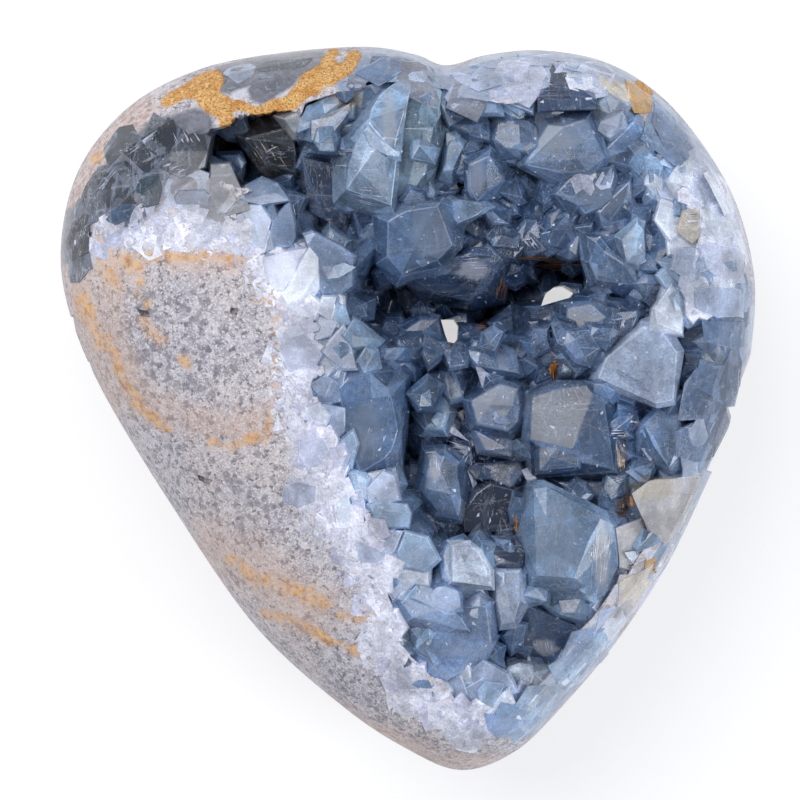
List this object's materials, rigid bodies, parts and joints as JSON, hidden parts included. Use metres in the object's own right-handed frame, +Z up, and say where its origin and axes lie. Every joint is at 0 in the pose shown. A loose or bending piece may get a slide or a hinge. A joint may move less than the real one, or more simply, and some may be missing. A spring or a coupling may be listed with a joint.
{
  "type": "celestite geode heart",
  "caption": "Polished heart-shaped stone lying on its back, its domed face open to a deep hollow lined with blocky pale-blue crystals.",
  "frame": {"origin": "on the surface the stone rests on, under the middle of the heart", "axes": "+Z up out of the hollow, +Y from the heart's point towards its two lobes, +X to the right seen from above"},
  "size_m": [0.1002, 0.1045, 0.0506],
  "materials": {
    "marl_rind": "ground and polished, fine-grained",
    "celestite_crust": "natural crystal faces, clear to milky"
  },
  "bodies": {
    "root": {"marl_rind": "marl_rind", "celestite_crust": "celestite_crust"}
  },
  "joints": []
}
